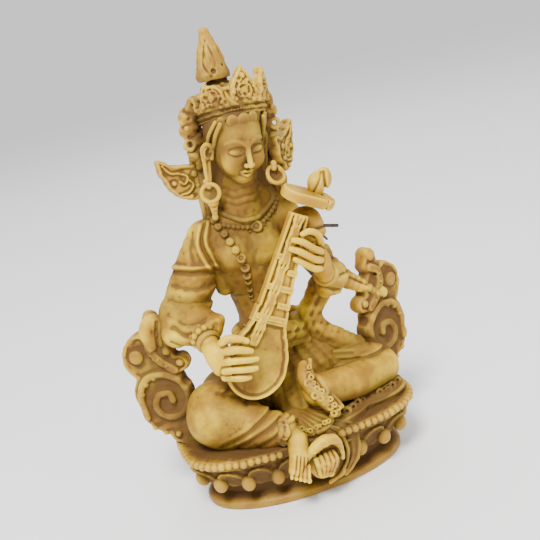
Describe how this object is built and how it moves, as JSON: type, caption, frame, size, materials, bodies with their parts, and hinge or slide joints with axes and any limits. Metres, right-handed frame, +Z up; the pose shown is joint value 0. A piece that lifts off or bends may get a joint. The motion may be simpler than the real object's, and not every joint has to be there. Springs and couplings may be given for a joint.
{
  "type": "seated deity statuette",
  "caption": "Cast resin statuette of a seated crowned deity playing a long-necked lute on an oval lotus plinth; stands on a flat underside.",
  "frame": {"origin": "middle of the plinth's flat underside", "axes": "+Z up, -Y the way the figure faces, +X the figure's own left"},
  "size_m": [0.0916, 0.0528, 0.14],
  "materials": {
    "resin_plinth": "cast resin with a brown wash in the hollows",
    "resin_platform": "cast resin with a heavy brown wash",
    "resin_face": "smooth cast resin with a soft sheen and a light brown wash",
    "resin_skin": "smooth cast resin, hand-rubbed to a soft sheen",
    "resin_hair": "cast resin, engraved, brown wash in the grooves",
    "resin_ornament": "cast resin, carved, brown wash in the hollows",
    "resin_drapery": "cast resin, folds with brown wash",
    "resin_lute": "smooth cast resin with a soft sheen",
    "pin_metal": "dark oxidised wire"
  },
  "bodies": {
    "root": {"back_hair": "resin_hair", "bracelets": "resin_ornament", "collar": "resin_ornament", "crown_band": "resin_ornament", "crown_leaves": "resin_ornament", "earrings": "resin_ornament", "ears": "resin_face", "foot_lotus": "resin_skin", "hair_cap": "resin_hair", "hair_rosettes": "resin_ornament", "hair_spire": "resin_hair", "head": "resin_face", "headstock_finial": "resin_lute", "hips": "resin_drapery", "left_cuff": "resin_drapery", "left_forearm": "resin_skin", "left_hand": "resin_skin", "left_hem": "resin_drapery", "left_leg": "resin_drapery", "left_scarf": "resin_drapery", "left_scroll": "resin_ornament", "left_sleeve": "resin_drapery", "left_tress": "resin_hair", "long_beads": "resin_ornament", "lotus_bed": "resin_plinth", "lotus_petals": "resin_plinth", "lotus_ribbon": "resin_ornament", "lute_bowl": "resin_lute", "lute_frets": "resin_lute", "lute_headstock": "resin_lute", "lute_neck": "resin_lute", "lute_pegbox": "resin_lute", "lute_soundboard": "resin_lute", "lute_strings": "resin_lute", "neck": "resin_skin", "necklace": "resin_ornament", "petal_buds": "resin_plinth", "platform": "resin_platform", "plinth_foot": "resin_platform", "plinth_waist": "resin_platform", "right_cuff": "resin_drapery", "right_foot": "resin_skin", "right_forearm": "resin_skin", "right_hand": "resin_skin", "right_hem": "resin_drapery", "right_leg": "resin_drapery", "right_scarf": "resin_drapery", "right_scroll": "resin_ornament", "right_sleeve": "resin_drapery", "right_tress": "resin_hair", "rim_beads": "resin_plinth", "side_fans": "resin_ornament", "skirt_border": "resin_drapery", "skirt_pleats": "resin_drapery", "topknot": "resin_hair", "torso": "resin_skin", "tuning_pins": "pin_metal", "waist_sash": "resin_drapery"}
  },
  "joints": []
}
